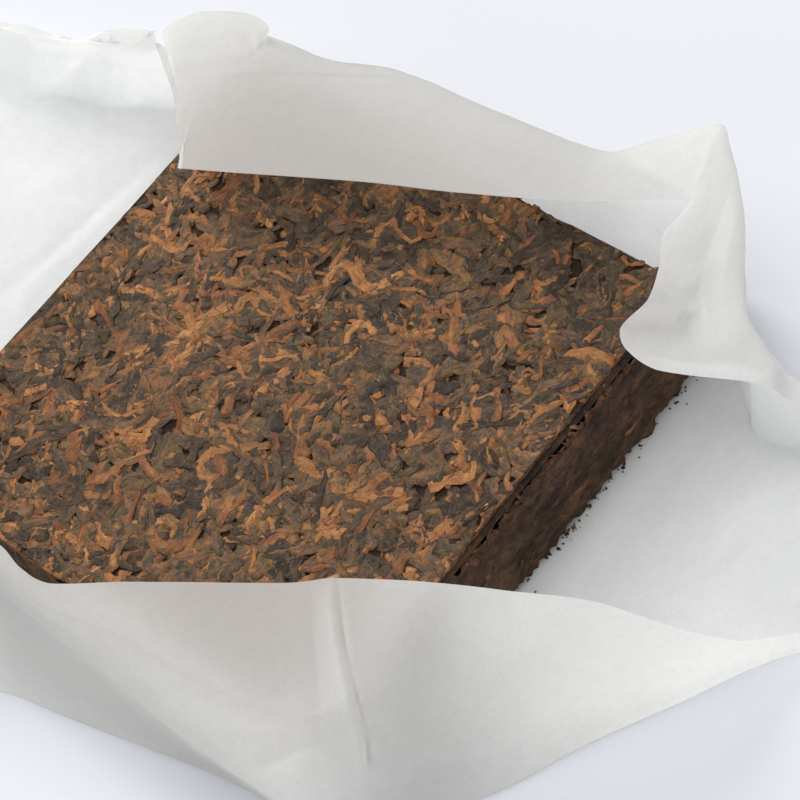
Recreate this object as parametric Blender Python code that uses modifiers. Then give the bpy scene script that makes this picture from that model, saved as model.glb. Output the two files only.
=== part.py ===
"""Square pressed tea brick lying in its opened wrapping paper.

Two solids, both resting parts of one body:
  tea_brick      the pressed slab, about 101 x 101 x 20 mm
  wrapper_paper  the opened paper sheet under and round it

Metres, +Z up.  The origin is under the middle of the brick, on the flat
underside of the paper.  The slab's sides run along X and Y.
"""
import math
import bpy
import bmesh
import numpy as np
from mathutils import Vector, noise

MM = 0.001

# ---- driving sizes, millimetres ------------------------------------------
BRICK_SIDE = 101.0        # square slab, side to side
BRICK_THICK = 20.2        # bottom to mean top surface
BRICK_GRID = 22           # cuts along each side
BRICK_ROWS = 4            # cuts up the side
EDGE_R = 1.6              # worn rounding of the top and bottom edges
CORNER_R = 3.0            # rounding of the four upright corners
RELIEF_TOP = 0.45         # unevenness of the pressed leaf face
RELIEF_SIDE = 0.55        # unevenness of the sides

PAPER_T = 0.40            # solid thickness standing for the thin paper
PAPER_Z = PAPER_T / 2     # middle of the sheet where it lies flat
BRICK_Z = PAPER_T + 0.35  # underside of the slab, clear of the sheet

# The sheet lies along S, turned from the slab's Y axis, with flaps along T.
TURN = math.radians(24.87)
S_AXIS = (math.sin(TURN), -math.cos(TURN))
T_AXIS = (math.cos(TURN), math.sin(TURN))

STATIONS = 46             # sections along the sheet
SECTION = 31              # points across each section

# Rails of the opened sheet: (section number, s, t, z) in millimetres.
# Section 0 is the spread left end, 4-5 the left edge of the back flap,
# 7 the slab's near corner, 9 the back corner fold, 10-12 the rolled ear,
# 13 the right end.
RIM_F = [(0, -108, -44, 8), (2, -68, -34.5, 14), (3.5, -50, -36.8, 19),
         (4, -39.4, -37.8, 22), (4.5, -33.7, -41.6, 22.1), (5, -27, -44.1, 22.8),
         (5.5, -13.1, -42.4, 23.4), (6, 0.8, -41, 23.8), (6.6, 15.3, -39.6, 24.4),
         (7, 22.6, -38.4, 25.4), (7.5, 33.5, -38.1, 27.1), (8, 43.9, -38.3, 28.6),
         (8.5, 54.3, -38.1, 28.1), (9, 64.7, -36.8, 25.1), (9.5, 71.2, -36.2, 20.7),
         (10, 78, -35.2, 15.2), (11, 84.6, -32.2, 8), (12, 93, -27.5, 4),
         (13, 114, -24.2, 2.5)]
SHOULDER_F = [(0, -108, -50, 7), (2, -68.5, -40.5, 12.5), (3.5, -50, -40.8, 17.8),
              (4, -39.5, -41.4, 20.9), (4.5, -33, -45, 21.1), (5, -26, -48, 21.9),
              (5.5, -12.5, -51.2, 23.1), (6, 1.5, -56.4, 23.7), (6.6, 16.3, -60.5, 24.5),
              (7, 25, -61.5, 25.1), (7.5, 34.5, -56, 24), (8, 45, -47, 20),
              (9, 63.7, -41.6, 17.6), (10, 77.2, -37.2, 10.6), (11, 84.4, -32.7, 5.4),
              (12, 93, -28, 2.8), (13, 114, -24.8, 1.8)]
CREASE_F = [(0, -108, -57, 5), (2, -69, -46.5, 10.5), (3.5, -49.5, -44, 15.8),
            (4, -39.5, -44.2, 18.2), (4.5, -32, -47.9, 18.7), (5, -25, -51.2, 19.3),
            (5.5, -12, -57.6, 20.1), (6, 2, -64.6, 20.7), (6.6, 17, -71.6, 20.6),
            (7, 26, -74, 18.5), (7.5, 36, -66.5, 14), (8, 46, -56.5, 10.5),
            (9, 62.6, -46.4, 9), (10, 76.4, -38.6, 5.3), (11, 84.2, -33.1, 2.9),
            (12, 93, -28.4, 1.5), (13, 114, -25.3, 1.0)]
FOOT_F = [(0, -108, -63), (2, -70, -57), (4, -42.8, -54.7), (5, -27, -58),
          (6, 4, -64.2), (7, 26, -68.5), (8, 46.4, -60.7), (9, 61.8, -48.9),
          (10, 75.6, -39.3), (11, 84, -33), (12, 93, -28.5), (13, 114, -25.5)]
FOOT_B = [(0, -108, 72), (2, -70, 69), (4, -42, 70), (5, -27, 72.5),
          (6, 4, 59), (7, 26, 49), (8, 46, 40), (9, 66, 36),
          (10, 69.8, 25.5), (10.5, 71.6, 20), (11, 74, 14.2), (12, 80, 7.5),
          (13, 114, 6)]
WALL_B = [(0, -108, 80, 3), (2, -70, 74, 8), (3, -52, 72, 9),
          (4, -41, 72.5, 12), (5, -27, 75.5, 14), (6, 4, 62.5, 14),
          (7, 26, 52.5, 14), (8, 47, 44.5, 15), (9, 67.5, 42, 18),
          (10, 73, 28.3, 16), (10.5, 74.5, 21.4, 14.5), (11, 76.4, 15, 14),
          (12, 82, 8.8, 12), (13, 114, 5, 4)]
RIDGE_B = [(0, -106, 88, 4), (1, -90, 80.3, 9), (2, -68.5, 74, 12.5),
           (3, -50.5, 71.6, 15), (3.5, -45.5, 70.8, 16), (3.75, -42, 67.5, 20), (4, -38, 61.5, 25.4),
           (4.1, -39.8, 64.6, 25.5), (4.22, -43, 67.8, 25.2), (4.38, -39.5, 70.4, 25.8),
           (4.5, -36, 72, 26.2), (4.7, -26.5, 71.6, 26.4),
           (4.87, -21.6, 68.8, 26), (5, -21.8, 65.5, 25.8), (6, 7, 60, 26.5), (7, 27, 52, 27), (8, 48.5, 45.5, 26),
           (8.5, 57.3, 45.8, 29.6), (9, 69.3, 46.4, 34.1),
           (9.25, 71.2, 42.7, 33.1), (9.5, 73.2, 38.5, 32.1),
           (10, 75.7, 30.3, 30.1), (10.5, 76.8, 22.5, 28.1),
           (11, 78.1, 15.6, 26.6), (11.5, 80.6, 12.2, 24.7),
           (12, 83.6, 9.5, 22.2), (12.5, 87.8, 7.9, 18.2), (13, 114, 3.6, 7.5)]
MID_B = [(0, -105, 89, 4.5), (1, -90.5, 79.6, 11), (2, -67.6, 72.9, 15),
         (3, -49, 72.4, 18), (3.25, -46.3, 68.6, 19.2), (3.5, -41, 61.5, 21), (4, -31.5, 47.5, 28.5),
         (5, -25.2, 50, 28.5),
         (6, 5, 47, 28.8), (7, 26.5, 42.6, 29), (8, 47.5, 38.5, 28.6),
         (9, 68.3, 40, 33), (9.5, 69, 33, 31.8), (10, 70.2, 26, 30.2),
         (10.5, 70.5, 18.6, 28.3), (11, 69.3, 12.2, 25.8), (11.5, 74, 7.6, 25.4),
         (12, 83.2, 6.6, 22.8), (12.5, 88, 5.9, 18), (13, 114, 2.8, 8)]
RIM_B = [(0, -104, 90, 5), (1, -91, 78.8, 12.6), (1.2, -86.2, 77.4, 13.8),
         (1.6, -78.2, 76.2, 15.6), (1.9, -69.4, 72.2, 16.6), (2.2, -62.9, 70.3, 17.6),
         (2.4, -58.5, 70.8, 18.6), (2.6, -54, 68.4, 18.8), (2.8, -49.6, 69, 19.6),
         (3, -47.8, 72.2, 20.4), (3.25, -43, 63.5, 22.6), (3.5, -36.5, 54, 24), (3.9, -27.4, 37, 29),
         (4, -26.3, 34.2, 29.8), (4.1, -26.1, 34.2, 29.9), (5, -25, 34.1, 30),
         (6, 5, 33.7, 30), (7, 26.5, 32.6, 30), (8, 47, 32, 30.3),
         (9, 66, 33.2, 30.5), (9.5, 63.0, 26.5, 30.4), (10, 63.7, 20.5, 30.5),
         (10.5, 63.2, 14.2, 30.4), (11, 59.8, 8.7, 30), (11.3, 61.4, 5.2, 30),
         (11.6, 67.2, 2.0, 29.6), (12, 82.4, 4.0, 24), (12.5, 88.3, 3.9, 18.4),
         (13, 114, 2.0, 8.5)]
FLAT_RAILS = (0.22, 0.5, 0.78)      # how far across the flat bottom they lie
END_RISE = 0.10                     # slope of the bottom beyond the slab


def hermite(knots, x, ease):
    """Smooth curve through knots; ease 0 is straight runs, 1 is smooth."""
    knots = np.asarray(knots, float)
    xs, ys = knots[:, 0], knots[:, 1:]
    step = np.diff(xs)[:, None]
    slope = np.diff(ys, axis=0) / step
    m = np.zeros_like(ys)
    m[0], m[-1] = slope[0], slope[-1]
    m[1:-1] = 0.5 * (slope[1:] + slope[:-1])
    x = np.asarray(x, float)
    i = np.clip(np.searchsorted(xs, x, side='right') - 1, 0, len(xs) - 2)
    h = step[i]
    u = (x - xs[i])[:, None] / h
    a, b = ys[i], ys[i + 1]
    line = a + (b - a) * u
    curve = ((2 * u**3 - 3 * u**2 + 1) * a + (u**3 - 2 * u**2 + u) * h * m[i]
             + (3 * u**2 - 2 * u**3) * b + (u**3 - u**2) * h * m[i + 1])
    return line + (curve - line) * ease


def to_world(p):
    q = p.copy()
    q[..., 0] = S_AXIS[0] * p[..., 0] + T_AXIS[0] * p[..., 1]
    q[..., 1] = S_AXIS[1] * p[..., 0] + T_AXIS[1] * p[..., 1]
    return q


def end_rise(s, t):
    """The sheet lifts a little beyond the slab's near and far sides."""
    y = S_AXIS[1] * s + T_AXIS[1] * t
    return np.minimum(END_RISE * np.maximum(0, np.abs(y) - 72), 3.5)


def sheet_points(v, w):
    """Grid of points of the sheet's middle surface, millimetres."""
    def flat(rail):
        return np.hstack([np.asarray(rail, float),
                          np.full((len(rail), 1), PAPER_Z)])
    rails = [hermite(r, v, 0.75) for r in
             (RIM_F, SHOULDER_F, CREASE_F, flat(FOOT_F), flat(FOOT_B),
              WALL_B, RIDGE_B, MID_B, RIM_B)]
    bottom = []
    for f in FLAT_RAILS:
        p = rails[3] * (1 - f) + rails[4] * f
        p[:, 2] = PAPER_Z + end_rise(p[:, 0], p[:, 1]) * (1 - abs(2 * f - 1))
        bottom.append(p)
    rails = rails[:4] + bottom + rails[4:]
    net = np.stack(rails, 1)
    number = np.arange(len(rails))[:, None]
    grid = np.stack([hermite(np.hstack([number, net[j]]), w, 0.55)
                     for j in range(len(v))])
    grid[..., 2] = np.maximum(grid[..., 2], PAPER_Z)
    return to_world(grid)


def spread(count, last, crowd):
    """Parameter values 0..last, closer together round the given values."""
    x = np.linspace(0, last, 2001)
    density = np.ones_like(x)
    for centre, width, gain in crowd:
        density += gain * np.exp(-((x - centre) / width) ** 2)
    run = np.concatenate([[0], np.cumsum(0.5 * (density[1:] + density[:-1]))])
    return np.interp(np.linspace(0, run[-1], count), run, x)


def material(name, rgb, rough, through=0.0):
    m = bpy.data.materials.new(name)
    m.use_nodes = True
    b = m.node_tree.nodes["Principled BSDF"]
    b.inputs["Base Color"].default_value = (*rgb, 1)
    b.inputs["Roughness"].default_value = rough
    b.inputs["Metallic"].default_value = 0.0
    m.diffuse_color = (*rgb, 1)
    return m


def place(obj, coll, mat):
    for c in list(obj.users_collection):
        c.objects.unlink(obj)
    coll.objects.link(obj)
    obj.data.materials.clear()
    obj.data.materials.append(mat)


def cut_along(bm, axis, cuts):
    edges = [e for e in bm.edges
             if abs((e.verts[1].co - e.verts[0].co).normalized()[axis]) > 0.99]
    bmesh.ops.subdivide_edges(bm, edges=edges, cuts=cuts, use_grid_fill=True)


def make_brick(coll):
    half, top = BRICK_SIDE / 2, BRICK_THICK
    bpy.ops.mesh.primitive_cube_add(size=1, location=(0, 0, 0))
    obj = bpy.context.object
    obj.name = obj.data.name = "tea_brick"
    bm = bmesh.new()
    bm.from_mesh(obj.data)
    for axis, cuts in ((2, BRICK_ROWS), (0, BRICK_GRID), (1, BRICK_GRID)):
        cut_along(bm, axis, cuts)

    def crowd(c):
        """Move the outer grid lines towards the edge."""
        return math.copysign(min(1.0, abs(2 * c)) ** 0.86, c)

    for v in bm.verts:
        x, y, z = crowd(v.co.x) * half, crowd(v.co.y) * half, v.co.z + 0.5
        up = z * top
        side = abs(abs(x) - half) < 1e-4 or abs(abs(y) - half) < 1e-4
        on_top, on_bottom = z > 0.999, z < 0.001
        # rounded upright corners
        ix, iy = half - CORNER_R, half - CORNER_R
        dx, dy = max(0, abs(x) - ix), max(0, abs(y) - iy)
        reach = math.hypot(dx, dy)
        if dx > 0 and dy > 0 and reach > 0:
            k = max(dx, dy) / reach
            x = math.copysign(ix + dx * k, x)
            y = math.copysign(iy + dy * k, y)
        # worn top and bottom edges
        inset = 0.0
        if side and (on_top or on_bottom):
            inset = EDGE_R * 0.55
            up += -EDGE_R * 0.5 if on_top else EDGE_R * 0.5
        # unevenness: coarse swell, then leaf-sized lumps
        p = Vector((x, y, up))
        lump = noise.noise(p * 0.19) + 0.6 * noise.noise(p * 0.41)
        swell = noise.noise(p * 0.035 + Vector((5, 2, 9)))
        if on_top:
            up += RELIEF_TOP * lump + 0.35 * swell
        elif on_bottom:
            up += 0.25 * abs(lump)
        if side:
            n = Vector((x, y, 0)).normalized()
            ox = math.copysign(1, x) if abs(abs(v.co.x) - 0.5) < 1e-5 else 0
            oy = math.copysign(1, y) if abs(abs(v.co.y) - 0.5) < 1e-5 else 0
            out = Vector((ox, oy, 0)).normalized()
            d = RELIEF_SIDE * lump - 0.25 - inset
            if not on_top and not on_bottom:
                d -= 0.5 * (1 - abs(2 * z - 1)) * (0.5 + 0.5 * swell)
            x += out.x * d
            y += out.y * d
        v.co = Vector((x, y, up + BRICK_Z)) * MM
    bmesh.ops.recalc_face_normals(bm, faces=bm.faces)
    bm.to_mesh(obj.data)
    bm.free()
    obj.data.shade_smooth()
    obj.data.set_sharp_from_angle(angle=math.radians(40))
    place(obj, coll, material("pressed_tea", (0.085, 0.05, 0.03), 0.75))
    return obj


def make_paper(coll):
    v = spread(STATIONS, 13, [(3.75, 0.35, 1.6), (9.2, 0.5, 1.2),
                              (11.0, 0.7, 1.8), (12.2, 0.5, 0.8)])
    w = spread(SECTION, 11, [(0.8, 1.0, 0.6), (3, 0.5, 1.2), (5, 0.9, -0.55),
                             (7, 0.5, 1.2), (9, 0.5, 1.5), (10.4, 0.8, 0.6)])
    grid = sheet_points(v, w)
    bm = bmesh.new()
    rows = [[bm.verts.new(Vector(p) * MM) for p in row] for row in grid]
    for a, b in zip(rows, rows[1:]):
        for i in range(len(a) - 1):
            bm.faces.new((a[i], b[i], b[i + 1], a[i + 1]))
    bmesh.ops.recalc_face_normals(bm, faces=bm.faces)
    mesh = bpy.data.meshes.new("wrapper_paper")
    bm.to_mesh(mesh)
    bm.free()
    mesh.shade_smooth()
    obj = bpy.data.objects.new("wrapper_paper", mesh)
    bpy.context.scene.collection.objects.link(obj)
    place(obj, coll, material("wrapping_paper", (0.80, 0.80, 0.77), 0.8))
    solid = obj.modifiers.new("thickness", 'SOLIDIFY')
    solid.thickness = PAPER_T * MM
    solid.offset = 0.0
    solid.use_even_offset = False
    return obj


def main():
    for o in list(bpy.data.objects):
        bpy.data.objects.remove(o, do_unlink=True)
    coll = bpy.data.collections.new("pressed_tea_brick")
    bpy.context.scene.collection.children.link(coll)
    make_brick(coll)
    make_paper(coll)


main()
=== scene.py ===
"""Looks of the pressed tea brick in its opened paper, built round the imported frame."""
import bpy, bmesh, math
import numpy as np
from mathutils import Vector, Matrix, noise


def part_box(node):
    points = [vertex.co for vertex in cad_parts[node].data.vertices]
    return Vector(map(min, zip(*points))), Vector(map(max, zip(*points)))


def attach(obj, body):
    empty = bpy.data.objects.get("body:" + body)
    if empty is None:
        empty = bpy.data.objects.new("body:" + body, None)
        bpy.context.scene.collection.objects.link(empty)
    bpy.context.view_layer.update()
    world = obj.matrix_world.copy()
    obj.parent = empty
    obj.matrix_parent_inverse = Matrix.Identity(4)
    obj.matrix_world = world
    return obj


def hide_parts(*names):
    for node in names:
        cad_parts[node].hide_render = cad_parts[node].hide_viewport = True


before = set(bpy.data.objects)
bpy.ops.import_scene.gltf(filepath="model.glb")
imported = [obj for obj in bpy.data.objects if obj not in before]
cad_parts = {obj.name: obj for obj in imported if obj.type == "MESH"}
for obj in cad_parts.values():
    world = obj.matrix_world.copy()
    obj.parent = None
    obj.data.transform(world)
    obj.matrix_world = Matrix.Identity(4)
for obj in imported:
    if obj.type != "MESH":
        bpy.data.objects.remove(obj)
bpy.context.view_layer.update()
MM = 0.001
rng = np.random.default_rng(20417)

# ------------------------------------------------------------------ helpers
b_lo, b_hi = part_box("tea_brick")
HALF = 50.5                                   # slab half side, mm
BOT = b_lo.z / MM                             # underside of slab, mm
TOP = 20.9                                    # pressed face, mm


def lattice(seed, n=64):
    r = np.random.default_rng(seed)
    return r.random((n, n, n)).astype(np.float32)


_LAT = lattice(7)


def vnoise(x, y, z=0.0, scale=1.0, shift=0.0):
    """Value noise in -1..1, smooth, repeatable."""
    n = _LAT.shape[0]
    x = np.asarray(x, float) / scale + 131.7 + shift
    y = np.asarray(y, float) / scale + 71.3 + 1.7 * shift
    z = np.asarray(z, float) / scale + 37.9 + 2.3 * shift
    x, y, z = np.broadcast_arrays(x, y, z)
    xi, yi, zi = np.floor(x).astype(int), np.floor(y).astype(int), np.floor(z).astype(int)
    fx, fy, fz = x - xi, y - yi, z - zi
    fx, fy, fz = (f * f * f * (f * (f * 6 - 15) + 10) for f in (fx, fy, fz))
    out = 0
    for a in (0, 1):
        for b in (0, 1):
            for c in (0, 1):
                w = (fx if a else 1 - fx) * (fy if b else 1 - fy) * (fz if c else 1 - fz)
                out = out + w * _LAT[(xi + a) % n, (yi + b) % n, (zi + c) % n]
    return out * 2 - 1


def fbm(x, y, z=0.0, scale=1.0, octaves=3, shift=0.0, gain=0.5):
    s, a, t = 0, 1.0, 0
    for k in range(octaves):
        s = s + a * vnoise(x, y, z, scale / 2**k, shift + 11.3 * k)
        t += a
        a *= gain
    return s / t


def sstep(a, b, x):
    t = np.clip((np.asarray(x, float) - a) / (b - a), 0, 1)
    return t * t * (3 - 2 * t)


def mesh_object(name, verts, faces, attrs=None, smooth=True, scale=MM):
    """verts (n,3) mm, faces (m,k) ints."""
    me = bpy.data.meshes.new(name)
    verts = np.asarray(verts, np.float32) * scale
    if isinstance(faces, (list, tuple)):
        counts = np.concatenate([np.full(len(f), f.shape[1]) for f in faces])
        loops = np.concatenate([f.ravel() for f in faces])
    else:
        counts = np.full(len(faces), faces.shape[1])
        loops = faces.ravel()
    me.vertices.add(len(verts))
    me.vertices.foreach_set("co", verts.ravel())
    me.loops.add(len(loops))
    me.loops.foreach_set("vertex_index", loops.astype(np.int32))
    me.polygons.add(len(counts))
    me.polygons.foreach_set("loop_start", np.concatenate([[0], np.cumsum(counts)[:-1]]).astype(np.int32))
    me.update(calc_edges=True)
    for k, a in (attrs or {}).items():
        a = np.asarray(a, np.float32)
        kind = 'FLOAT' if a.ndim == 1 else 'FLOAT_VECTOR'
        at = me.attributes.new(k, kind, 'POINT')
        at.data.foreach_set('value' if a.ndim == 1 else 'vector', a.ravel())
    me.polygons.foreach_set("use_smooth", np.full(len(counts), smooth))
    me.validate()
    ob = bpy.data.objects.new(name, me)
    bpy.context.scene.collection.objects.link(ob)
    return ob


# ---------------------------------------------------------------- materials
class Nodes:
    def __init__(self, name):
        self.m = bpy.data.materials.new(name)
        self.m.use_nodes = True
        self.t = self.m.node_tree
        self.t.nodes.clear()
        self.out = self.t.nodes.new("ShaderNodeOutputMaterial")

    def n(self, kind, **kw):
        nd = self.t.nodes.new("ShaderNode" + kind)
        for k, v in kw.items():
            if k.startswith("i_"):
                key = k[2:]
                key = int(key) if key.isdigit() else key.replace("_", " ")
                s = nd.inputs[key]
                if isinstance(v, bpy.types.NodeSocket):
                    self.t.links.new(v, s)
                else:
                    s.default_value = v
            else:
                setattr(nd, k, v)
        return nd

    def link(self, a, b):
        self.t.links.new(a, b)

    def math(self, op, a, b=None, c=None, clamp=False):
        nd = self.t.nodes.new("ShaderNodeMath")
        nd.operation = op
        nd.use_clamp = clamp
        for i, v in enumerate((a, b, c)):
            if v is None:
                continue
            if isinstance(v, bpy.types.NodeSocket):
                self.t.links.new(v, nd.inputs[i])
            else:
                nd.inputs[i].default_value = v
        return nd.outputs[0]

    def ramp(self, fac, stops, interp='LINEAR'):
        nd = self.t.nodes.new("ShaderNodeValToRGB")
        cr = nd.color_ramp
        cr.interpolation = interp
        while len(cr.elements) < len(stops):
            cr.elements.new(0.5)
        for e, (p, c) in zip(cr.elements, stops):
            e.position = p
            e.color = (*c, 1) if len(c) == 3 else c
        self.t.links.new(fac, nd.inputs[0])
        return nd.outputs[0]

    def mix(self, fac, a, b, blend='MIX'):
        nd = self.t.nodes.new("ShaderNodeMix")
        nd.data_type = 'RGBA'
        nd.blend_type = blend
        for k, v in ((0, fac), (6, a), (7, b)):
            if isinstance(v, bpy.types.NodeSocket):
                self.t.links.new(v, nd.inputs[k])
            elif k == 0:
                nd.inputs[0].default_value = v
            else:
                nd.inputs[k].default_value = (*v, 1) if len(v) == 3 else v
        return nd.outputs[2]

    def remap(self, v, a, b, c, d):
        nd = self.t.nodes.new("ShaderNodeMapRange")
        self.t.links.new(v, nd.inputs[0])
        for i, k in enumerate((a, b, c, d)):
            nd.inputs[i + 1].default_value = k
        return nd.outputs[0]


def srgb(r, g, b):
    f = lambda c: ((c / 255 + 0.055) / 1.055) ** 2.4 if c > 10 else c / 255 / 12.92
    return (f(r), f(g), f(b))


def leaf_material(name, stops, rough=(0.52, 0.74), spread=1.0, side=False):
    N = Nodes(name)
    tone = N.n("Attribute", attribute_name="tone").outputs["Fac"]
    luv = N.n("Attribute", attribute_name="luv").outputs["Vector"]
    geo = N.n("NewGeometry")
    pos = geo.outputs["Position"]
    mp = N.n("Mapping", i_Vector=luv, i_Scale=(0.45, 2.6, 1.0)).outputs[0]
    streak = N.n("TexNoise", i_Vector=mp, i_Scale=1.0, i_Detail=3.0, i_Roughness=0.6).outputs["Fac"]
    mp2 = N.n("Mapping", i_Vector=luv, i_Scale=(0.55, 0.9, 1.0)).outputs[0]
    blot = N.n("TexNoise", i_Vector=mp2, i_Scale=1.0, i_Detail=2.0, i_Roughness=0.5).outputs["Fac"]
    # stains shared by neighbours, several sizes
    big = N.n("TexNoise", i_Vector=pos, i_Scale=210.0, i_Detail=2.0, i_Roughness=0.55).outputs["Fac"]
    mid = N.n("TexNoise", i_Vector=pos, i_Scale=700.0, i_Detail=2.0, i_Roughness=0.6).outputs["Fac"]
    fine = N.n("TexNoise", i_Vector=pos, i_Scale=2600.0, i_Detail=2.0, i_Roughness=0.6).outputs["Fac"]

    def part(sock, k):
        return N.math('MULTIPLY', N.math('SUBTRACT', sock, 0.5), k)
    v = N.math('ADD', N.math('MULTIPLY', tone, 0.55), 0.22)
    for sock, k in ((blot, 0.80), (big, 1.1 if side else 0.50), (mid, 0.62), (streak, 0.36), (fine, 0.34)):
        v = N.math('ADD', v, part(sock, k * spread))
    v = N.math('ADD', v, 0.0, clamp=True)
    col = N.ramp(v, stops)
    # now and then the leaf is redder or greener than its depth of tone
    hue = N.n("TexNoise", i_Vector=pos, i_Scale=560.0, i_Detail=2.0, i_Roughness=0.6).outputs["Color"]
    hs = N.n("SeparateColor", i_Color=hue)
    hr = N.remap(hs.outputs[0], 0.3, 0.7, 0.93, 1.09)
    hg = N.remap(hs.outputs[1], 0.3, 0.7, 0.92, 1.05)
    hb = N.remap(hs.outputs[2], 0.3, 0.7, 0.74, 1.14)
    col = N.mix(1.0, col, N.n("CombineColor", i_Red=hr, i_Green=hg, i_Blue=hb).outputs[0], 'MULTIPLY')
    dark = N.remap(streak, 0.30, 0.60, 0.80, 1.04)
    f2 = N.remap(fine, 0.32, 0.70, 0.88, 1.10)
    dark = N.math('MULTIPLY', dark, f2)
    if not side:
        # painted shade: leaf sides and leaves lying lower are darkened where they sink between neighbours
        z = N.n("SeparateXYZ", i_Vector=pos).outputs[2]
        painted_gap_shade = N.remap(z, (TOP - 0.75) * MM, (TOP - 0.32) * MM, 0.45, 1.0)
        dark = N.math('MULTIPLY', dark, painted_gap_shade)
    dark = N.math('MULTIPLY', dark, 1.05)
    col = N.mix(1.0, col, N.n("CombineColor", i_Red=dark, i_Green=dark, i_Blue=dark).outputs[0], 'MULTIPLY')
    rg = N.remap(mid, 0.3, 0.7, *rough)
    h = N.math('ADD', N.math('MULTIPLY', streak, 0.8), N.math('ADD', N.math('MULTIPLY', mid, 1.3), N.math('MULTIPLY', fine, 0.45)))
    bp = N.n("Bump", i_Height=h, i_Strength=0.8, i_Distance=0.00042).outputs[0]
    b = N.n("BsdfPrincipled", i_Roughness=rg, i_Normal=bp)
    N.link(col, b.inputs["Base Color"])
    b.inputs["IOR"].default_value = 1.45
    b.inputs["Specular IOR Level"].default_value = 0.24
    N.link(b.outputs[0], N.out.inputs[0])
    return N.m


# colours of the pressed leaf, dark to tip
DARK = [(0.0, srgb(40, 31, 24)), (0.28, srgb(60, 49, 39)), (0.50, srgb(80, 66, 52)), (0.68, srgb(98, 78, 58)), (0.84, srgb(122, 87, 60)), (1.0, srgb(148, 99, 62))]
BROWN = [(0.0, srgb(50, 39, 30)), (0.25, srgb(76, 59, 44)), (0.50, srgb(104, 79, 56)), (0.75, srgb(134, 96, 62)), (1.0, srgb(164, 112, 66))]
GOLD = [(0.0, srgb(74, 52, 36)), (0.25, srgb(114, 73, 46)), (0.50, srgb(140, 95, 58)), (0.75, srgb(164, 113, 69)), (1.0, srgb(186, 142, 94))]


# ------------------------------------------------------------------- slab
def swell(x, y):
    return 0.22 * fbm(x, y, 0, 16, 2, 3.1) + 0.10 * vnoise(x, y, 0, 5.5, 9.4)


def edge_drop(x, y):
    """Worn rounding at the top edge."""
    d = HALF - np.maximum(np.abs(x), np.abs(y))
    return 0.28 * np.clip((1.6 - d) / 1.2, 0, 1.2) ** 2


def outline(x, y):
    """How far the slab's side stands out, unevenly, at this place."""
    return 0.45 * fbm(x, y, 0, 9, 2, 21.0) + 0.18 * vnoise(x, y, 0, 2.2, 4.0)


def edge_shape(along, face):
    """Upper edge of a side: how far in the pressed top layer ends, how far in the
    side's own rim stands beyond the open split, and how deep that rim lies."""
    k = 50.0 + 9 * face
    corner = sstep(0.0, 4.0, HALF - np.abs(along))
    if face == 0:
        much = corner
        lip = 1.95 + 0.22 * vnoise(along, 0, 0, 2.6, k) + 0.13 * vnoise(along, 0, 0, 0.9, k + 1)
        # here and there the two sides of the split touch
        gap = 1.50 + 1.05 * vnoise(along, 0, 0, 4.6, k + 2) + 0.55 * vnoise(along, 0, 0, 1.8, k + 3) + 0.26 * vnoise(along, 0, 0, 0.7, k + 5)
    else:
        much = corner * sstep(0.05, 0.5, vnoise(along, 0, 0, 12, k + 4))
        lip = 0.9 + 0.20 * vnoise(along, 0, 0, 2.6, k) + 0.12 * vnoise(along, 0, 0, 0.9, k + 1)
        gap = 0.6 + 0.6 * vnoise(along, 0, 0, 4.2, k + 2) + 0.3 * vnoise(along, 0, 0, 1.7, k + 3)
    lip = 0.45 + (lip - 0.45) * much
    gap = np.clip(gap * much, 0.04, 1.85)
    rim = np.clip(lip - gap, 0.14, 3)
    depth = 0.62 + np.clip(gap, 0, 1) * (0.50 + 0.30 * vnoise(along, 0, 0, 1.3, k + 6)) + 0.14 * vnoise(along, 0, 0, 0.6, k + 7)
    return lip, rim, depth


def side_relief(x, y, z):
    return (0.40 * fbm(x, y, z * 1.4, 4.2, 3, 14.0) + 0.20 * vnoise(x, y, z * 1.7, 1.5, 31.0)
            + 0.12 * vnoise(x, y, z * 1.3, 0.62, 33.0) + 0.30 * fbm(x, y, 0, 9, 2, 21.0))


def foot_wear(x, y, z):
    """Crumbled lower edge."""
    return 0.9 * sstep(BOT + 2.2, BOT, z) * (0.45 + 0.60 * vnoise(x, y, 0, 2.4, 60.0) + 0.60 * vnoise(x, y, 0, 0.95, 61.0) + 0.6 * vnoise(x, y, 0, 7.0, 63.0))


def side_out(x, y, z, below):
    """How far the upright side stands out from its mean plane, below the rim."""
    return side_relief(x, y, z) * sstep(0.0, 1.2, below) - foot_wear(x, y, z) + 0.30 * sstep(0.4, 4.0, below) - 0.10


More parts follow.
